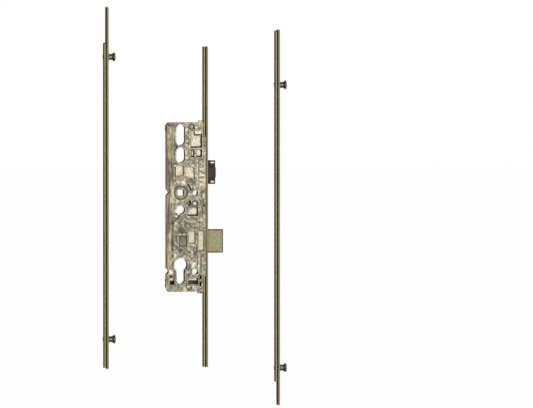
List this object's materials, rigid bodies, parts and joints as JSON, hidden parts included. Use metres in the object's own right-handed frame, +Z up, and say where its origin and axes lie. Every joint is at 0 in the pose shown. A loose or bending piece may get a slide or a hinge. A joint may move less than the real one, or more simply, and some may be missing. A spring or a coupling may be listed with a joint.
{
  "type": "multipoint door lock",
  "caption": "Multipoint door lock in its sections: lock case with spindle follower, latch and deadbolt, faceplate strips and sliding rails with mushroom bolts.",
  "frame": {"origin": "on the axis of the handle spindle, half way through the thickness of the lock case", "axes": "+Z up the door edge along the faceplates, +X the way the latch, the deadbolt and the mushrooms stand out, +Y through the door, away from the pictured side"},
  "size_m": [0.2364, 0.0167, 0.5095],
  "materials": {
    "strip_bronze": "olive-gold passivated steel strip",
    "rail_bronze": "olive-gold passivated steel rail",
    "zinc_casting": "pale brassy cast zinc, streaked",
    "follower_zinc": "cast zinc, satin",
    "bright_steel": "bright zinc-plated steel",
    "dark_steel": "dark blackened steel",
    "latch_dark": "dark brown moulded plastic",
    "latch_brass": "polished brass",
    "deadbolt_bronze": "olive passivated sintered steel, speckled"
  },
  "bodies": {
    "lock": {"centre_faceplate": "strip_bronze", "top_faceplate": "strip_bronze", "bottom_faceplate": "strip_bronze", "case_front": "zinc_casting", "case_back": "zinc_casting", "case_rivets": "zinc_casting", "case_screws": "strip_bronze", "lever_pivot": "bright_steel", "latch_spring": "bright_steel", "follower_spring": "bright_steel"},
    "drive": {"drive_slide": "bright_steel", "upper_rail": "rail_bronze", "lower_rail": "rail_bronze"},
    "follower": {"follower": "follower_zinc"},
    "top_rail": {"top_rail": "rail_bronze", "top_rail_washers": "rail_bronze"},
    "bottom_rail": {"bottom_rail": "rail_bronze", "bottom_rail_washers": "rail_bronze"},
    "top_mushroom_upper": {"top_mushroom_upper": "dark_steel"},
    "top_mushroom_lower": {"top_mushroom_lower": "dark_steel"},
    "bottom_mushroom_upper": {"bottom_mushroom_upper": "dark_steel"},
    "bottom_mushroom_lower": {"bottom_mushroom_lower": "dark_steel"},
    "latch": {"latch_block": "latch_dark", "latch_tail": "bright_steel", "latch_tongue": "dark_steel", "latch_inserts": "latch_brass"},
    "deadbolt": {"deadbolt": "deadbolt_bronze", "deadbolt_stump": "bright_steel"},
    "bolt_lever": {"bolt_lever": "bright_steel"}
  },
  "joints": [
    {"name": "rails_slide", "type": "slide", "parent": "lock", "child": "drive", "axis": [0, 0, 1], "range_m": [-0.016, 0]},
    {"name": "follower_turn", "type": "hinge", "parent": "lock", "child": "follower", "pos_m": [0, 0, 0], "axis": [0, 1, 0], "range_deg": [0, 35.9], "deforming": ["follower_spring"]},
    {"name": "top_rail_slide", "type": "slide", "parent": "lock", "child": "top_rail", "axis": [0, 0, 1], "range_m": [-0.0161, 0]},
    {"name": "bottom_rail_slide", "type": "slide", "parent": "lock", "child": "bottom_rail", "axis": [0, 0, 1], "range_m": [-0.0161, 0]},
    {"name": "top_mushroom_upper_turn", "type": "hinge", "parent": "top_rail", "child": "top_mushroom_upper", "pos_m": [-0.0925, 0, 0.174], "axis": [1, 0, 0], "continuous": true},
    {"name": "top_mushroom_lower_turn", "type": "hinge", "parent": "top_rail", "child": "top_mushroom_lower", "pos_m": [-0.0925, 0, -0.1865], "axis": [1, 0, 0], "continuous": true},
    {"name": "bottom_mushroom_upper_turn", "type": "hinge", "parent": "bottom_rail", "child": "bottom_mushroom_upper", "pos_m": [0.1275, 0, 0.137], "axis": [1, 0, 0], "continuous": true},
    {"name": "bottom_mushroom_lower_turn", "type": "hinge", "parent": "bottom_rail", "child": "bottom_mushroom_lower", "pos_m": [0.1275, 0, -0.2245], "axis": [1, 0, 0], "continuous": true},
    {"name": "latch_slide", "type": "slide", "parent": "lock", "child": "latch", "axis": [1, 0, 0], "range_m": [-0.0095, 0], "stiffness_N_per_m": 300, "springref_m": 0.012, "deforming": ["latch_spring"]},
    {"name": "deadbolt_slide", "type": "slide", "parent": "lock", "child": "deadbolt", "axis": [1, 0, 0], "range_m": [-0.0195, 0]},
    {"name": "bolt_lever_turn", "type": "hinge", "parent": "lock", "child": "bolt_lever", "pos_m": [0.0177, 0, -0.0135], "axis": [0, 1, 0], "range_deg": [0, 36.1]}
  ],
  "couplings": [
    {"joint": "follower_turn", "follows": "rails_slide", "rad_per_m": -39.062},
    {"joint": "top_rail_slide", "follows": "rails_slide", "ratio": 1},
    {"joint": "bottom_rail_slide", "follows": "rails_slide", "ratio": 1},
    {"joint": "bolt_lever_turn", "follows": "deadbolt_slide", "rad_per_m": -32.23}
  ]
}
